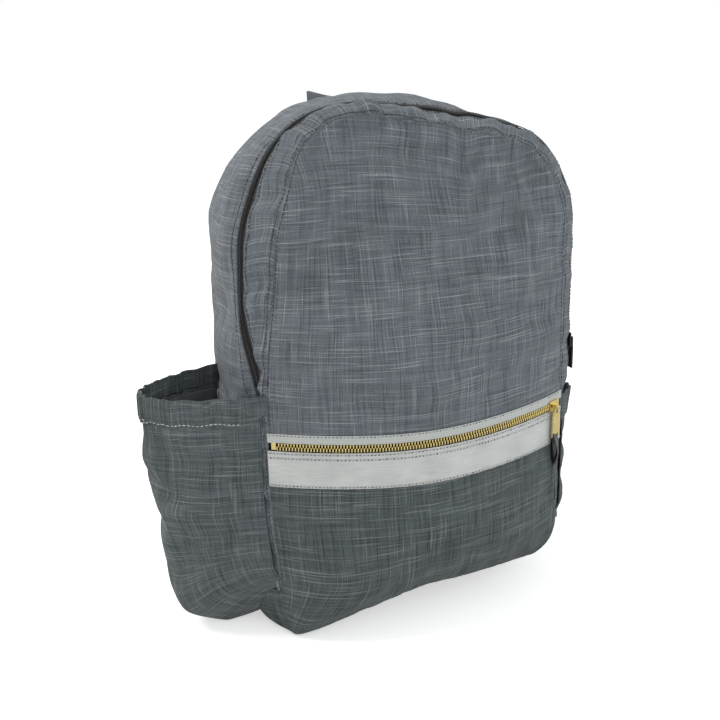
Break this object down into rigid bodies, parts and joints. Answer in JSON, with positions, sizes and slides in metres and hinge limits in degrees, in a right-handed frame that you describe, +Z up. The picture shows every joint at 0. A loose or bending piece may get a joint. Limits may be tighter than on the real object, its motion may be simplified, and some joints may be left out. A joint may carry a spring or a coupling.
{
  "type": "daypack",
  "caption": "Soft upright daypack with an arch-shaped zipped front, ribbon-trimmed front pocket, two side pockets, a grab handle and padded shoulder straps.",
  "frame": {"origin": "centre of the flat base, midway between the back face and the front seam", "axes": "+Z up, the front faces -Y, +X to the right seen from the front"},
  "size_m": [0.37, 0.2177, 0.3915],
  "materials": {
    "chambray": "woven slub chambray, matt",
    "lining": "plain woven lining",
    "foam": "closed-cell foam sheet",
    "ribbon": "grosgrain ribbon with a satin sheen",
    "zip_tape": "herringbone zip tape",
    "gold_metal": "plated brass, bright",
    "black_tape": "woven zip tape",
    "black_coil": "nylon coil",
    "elastic": "braided elastic",
    "webbing": "woven webbing",
    "black_ribbon": "doubled ribbon",
    "black_metal": "enamelled zinc",
    "black_plastic": "moulded acetal"
  },
  "bodies": {
    "bag": {"back_panel": "chambray", "back_foam": "foam", "back_lining": "lining", "rear_gusset": "chambray", "left_front_gusset": "chambray", "right_front_gusset": "chambray", "bottom_panel": "chambray", "lower_front_panel": "chambray", "front_strip": "chambray", "front_pocket_lining": "lining", "ribbon_band": "ribbon", "front_zip_upper_tape": "zip_tape", "front_zip_lower_tape": "zip_tape", "front_zip_lower_teeth": "gold_metal", "front_zip_upper_teeth": "gold_metal", "front_zip_stops": "gold_metal", "main_zip_rear_tape": "black_tape", "main_zip_rear_coil": "black_coil", "main_zip_stop_left": "black_tape", "main_zip_stop_right": "black_tape", "left_pocket": "chambray", "left_pocket_hem": "chambray", "left_pocket_elastic": "elastic", "right_pocket": "chambray", "right_pocket_hem": "chambray", "right_pocket_elastic": "elastic", "strap_yoke": "chambray", "left_strap_root": "chambray", "right_strap_root": "chambray", "left_strap_anchor": "webbing", "right_strap_anchor": "webbing"},
    "flap": {"upper_front_panel": "chambray", "flap_gusset": "chambray", "main_zip_front_tape": "black_tape", "main_zip_front_coil": "black_coil"},
    "front_slider": {"front_slider": "gold_metal"},
    "front_pull": {"front_pull": "gold_metal", "front_pull_tail": "black_ribbon"},
    "main_slider": {"main_slider": "black_metal"},
    "main_pull": {"main_pull": "black_metal"},
    "handle": {"grab_handle": "webbing"},
    "left_strap": {"left_strap_cover": "chambray", "left_strap_foam": "foam", "left_web_loop": "webbing", "left_ladder_lock": "black_plastic", "left_strap_webbing": "webbing"},
    "right_strap": {"right_strap_cover": "chambray", "right_strap_foam": "foam", "right_web_loop": "webbing", "right_ladder_lock": "black_plastic", "right_strap_webbing": "webbing"}
  },
  "joints": [
    {"name": "flap_fold", "type": "hinge", "parent": "bag", "child": "flap", "pos_m": [0, -0.09703, 0.178], "axis": [1, 0, 0], "range_deg": [0, 95]},
    {"name": "front_zip_run", "type": "hinge", "parent": "bag", "child": "front_slider", "pos_m": [0, 0.13701, 0.1439], "axis": [0, 0, 1], "range_deg": [-56.92, 0]},
    {"name": "front_pull_swing", "type": "hinge", "parent": "front_slider", "child": "front_pull", "pos_m": [0.11414, -0.07355, 0.1439], "axis": [-0.8791, -0.4766, 0], "range_deg": [0, 120]},
    {"name": "main_zip_run", "type": "slide", "parent": "bag", "child": "main_slider", "axis": [0, 0, 1], "range_m": [0, 0.09]},
    {"name": "main_pull_swing", "type": "hinge", "parent": "main_slider", "child": "main_pull", "pos_m": [0.1431, -0.044, 0.19], "axis": [0, -1, 0], "range_deg": [0, 150]},
    {"name": "handle_lift", "type": "hinge", "parent": "bag", "child": "handle", "pos_m": [0, 0.0624, 0.3915], "axis": [1, 0, 0], "range_deg": [0, 90]},
    {"name": "left_strap_swing", "type": "hinge", "parent": "bag", "child": "left_strap", "pos_m": [-0.112, 0.0632, 0.03], "axis": [0.1961, 0, 0.9806], "range_deg": [-25, 25]},
    {"name": "right_strap_swing", "type": "hinge", "parent": "bag", "child": "right_strap", "pos_m": [0.112, 0.0632, 0.03], "axis": [-0.1961, 0, 0.9806], "range_deg": [-25, 25]}
  ]
}
